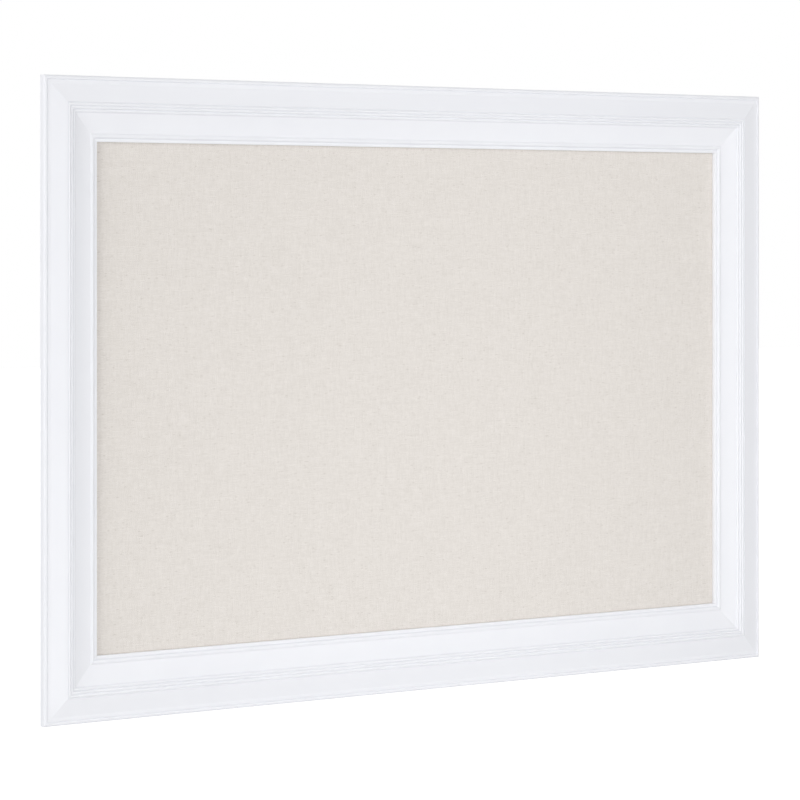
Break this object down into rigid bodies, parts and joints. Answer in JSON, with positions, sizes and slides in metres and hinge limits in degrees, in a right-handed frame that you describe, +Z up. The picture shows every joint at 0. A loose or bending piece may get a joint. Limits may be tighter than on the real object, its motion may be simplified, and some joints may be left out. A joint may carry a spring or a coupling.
{
  "type": "fabric bulletin board",
  "caption": "Landscape pinboard: a linen-covered soft panel in a white mitred moulding, closed behind by a backing board and hung by loose D-rings.",
  "frame": {"origin": "on the flat back of the top rail, in the middle of its length and its width", "axes": "+X to the viewer's right along the long side, +Y out of the back and into the wall, +Z up"},
  "size_m": [1.146, 0.0335, 0.762],
  "materials": {
    "painted_wood": "satin white paint",
    "linen": "oatmeal plain weave",
    "fibreboard": "soft pressed fibre",
    "hardboard": "smooth brown hardboard",
    "zinc_steel": "bright zinc plate",
    "spring_steel": "dark spring steel",
    "silicone": "clear soft silicone"
  },
  "bodies": {
    "board": {"frame_top_rail": "painted_wood", "frame_bottom_rail": "painted_wood", "frame_left_stile": "painted_wood", "frame_right_stile": "painted_wood", "linen_cover": "linen", "pin_core": "fibreboard", "backing_board": "hardboard", "v_nail_top_left_outer": "zinc_steel", "v_nail_top_left_inner": "zinc_steel", "v_nail_top_right_outer": "zinc_steel", "v_nail_top_right_inner": "zinc_steel", "v_nail_bottom_left_outer": "zinc_steel", "v_nail_bottom_left_inner": "zinc_steel", "v_nail_bottom_right_outer": "zinc_steel", "v_nail_bottom_right_inner": "zinc_steel", "framers_point_top_1": "spring_steel", "framers_point_top_2": "spring_steel", "framers_point_top_3": "spring_steel", "framers_point_top_4": "spring_steel", "framers_point_top_5": "spring_steel", "framers_point_top_6": "spring_steel", "framers_point_bottom_1": "spring_steel", "framers_point_bottom_2": "spring_steel", "framers_point_bottom_3": "spring_steel", "framers_point_bottom_4": "spring_steel", "framers_point_bottom_5": "spring_steel", "framers_point_bottom_6": "spring_steel", "framers_point_left_1": "spring_steel", "framers_point_left_2": "spring_steel", "framers_point_left_3": "spring_steel", "framers_point_left_4": "spring_steel", "framers_point_right_1": "spring_steel", "framers_point_right_2": "spring_steel", "framers_point_right_3": "spring_steel", "framers_point_right_4": "spring_steel", "hanger_strap_left": "zinc_steel", "hanger_strap_right": "zinc_steel", "hanger_screw_left_upper": "zinc_steel", "hanger_screw_left_lower": "zinc_steel", "hanger_screw_right_upper": "zinc_steel", "hanger_screw_right_lower": "zinc_steel", "wall_bumper_left": "silicone", "wall_bumper_right": "silicone"},
    "left_ring": {"hanger_ring_left": "zinc_steel"},
    "right_ring": {"hanger_ring_right": "zinc_steel"}
  },
  "joints": [
    {"name": "left_ring_swing", "type": "hinge", "parent": "board", "child": "left_ring", "pos_m": [-0.53225, 0.003, -0.14925], "axis": [1, 0, 0], "range_deg": [0, 176]},
    {"name": "right_ring_swing", "type": "hinge", "parent": "board", "child": "right_ring", "pos_m": [0.53225, 0.003, -0.14925], "axis": [1, 0, 0], "range_deg": [0, 176]}
  ]
}
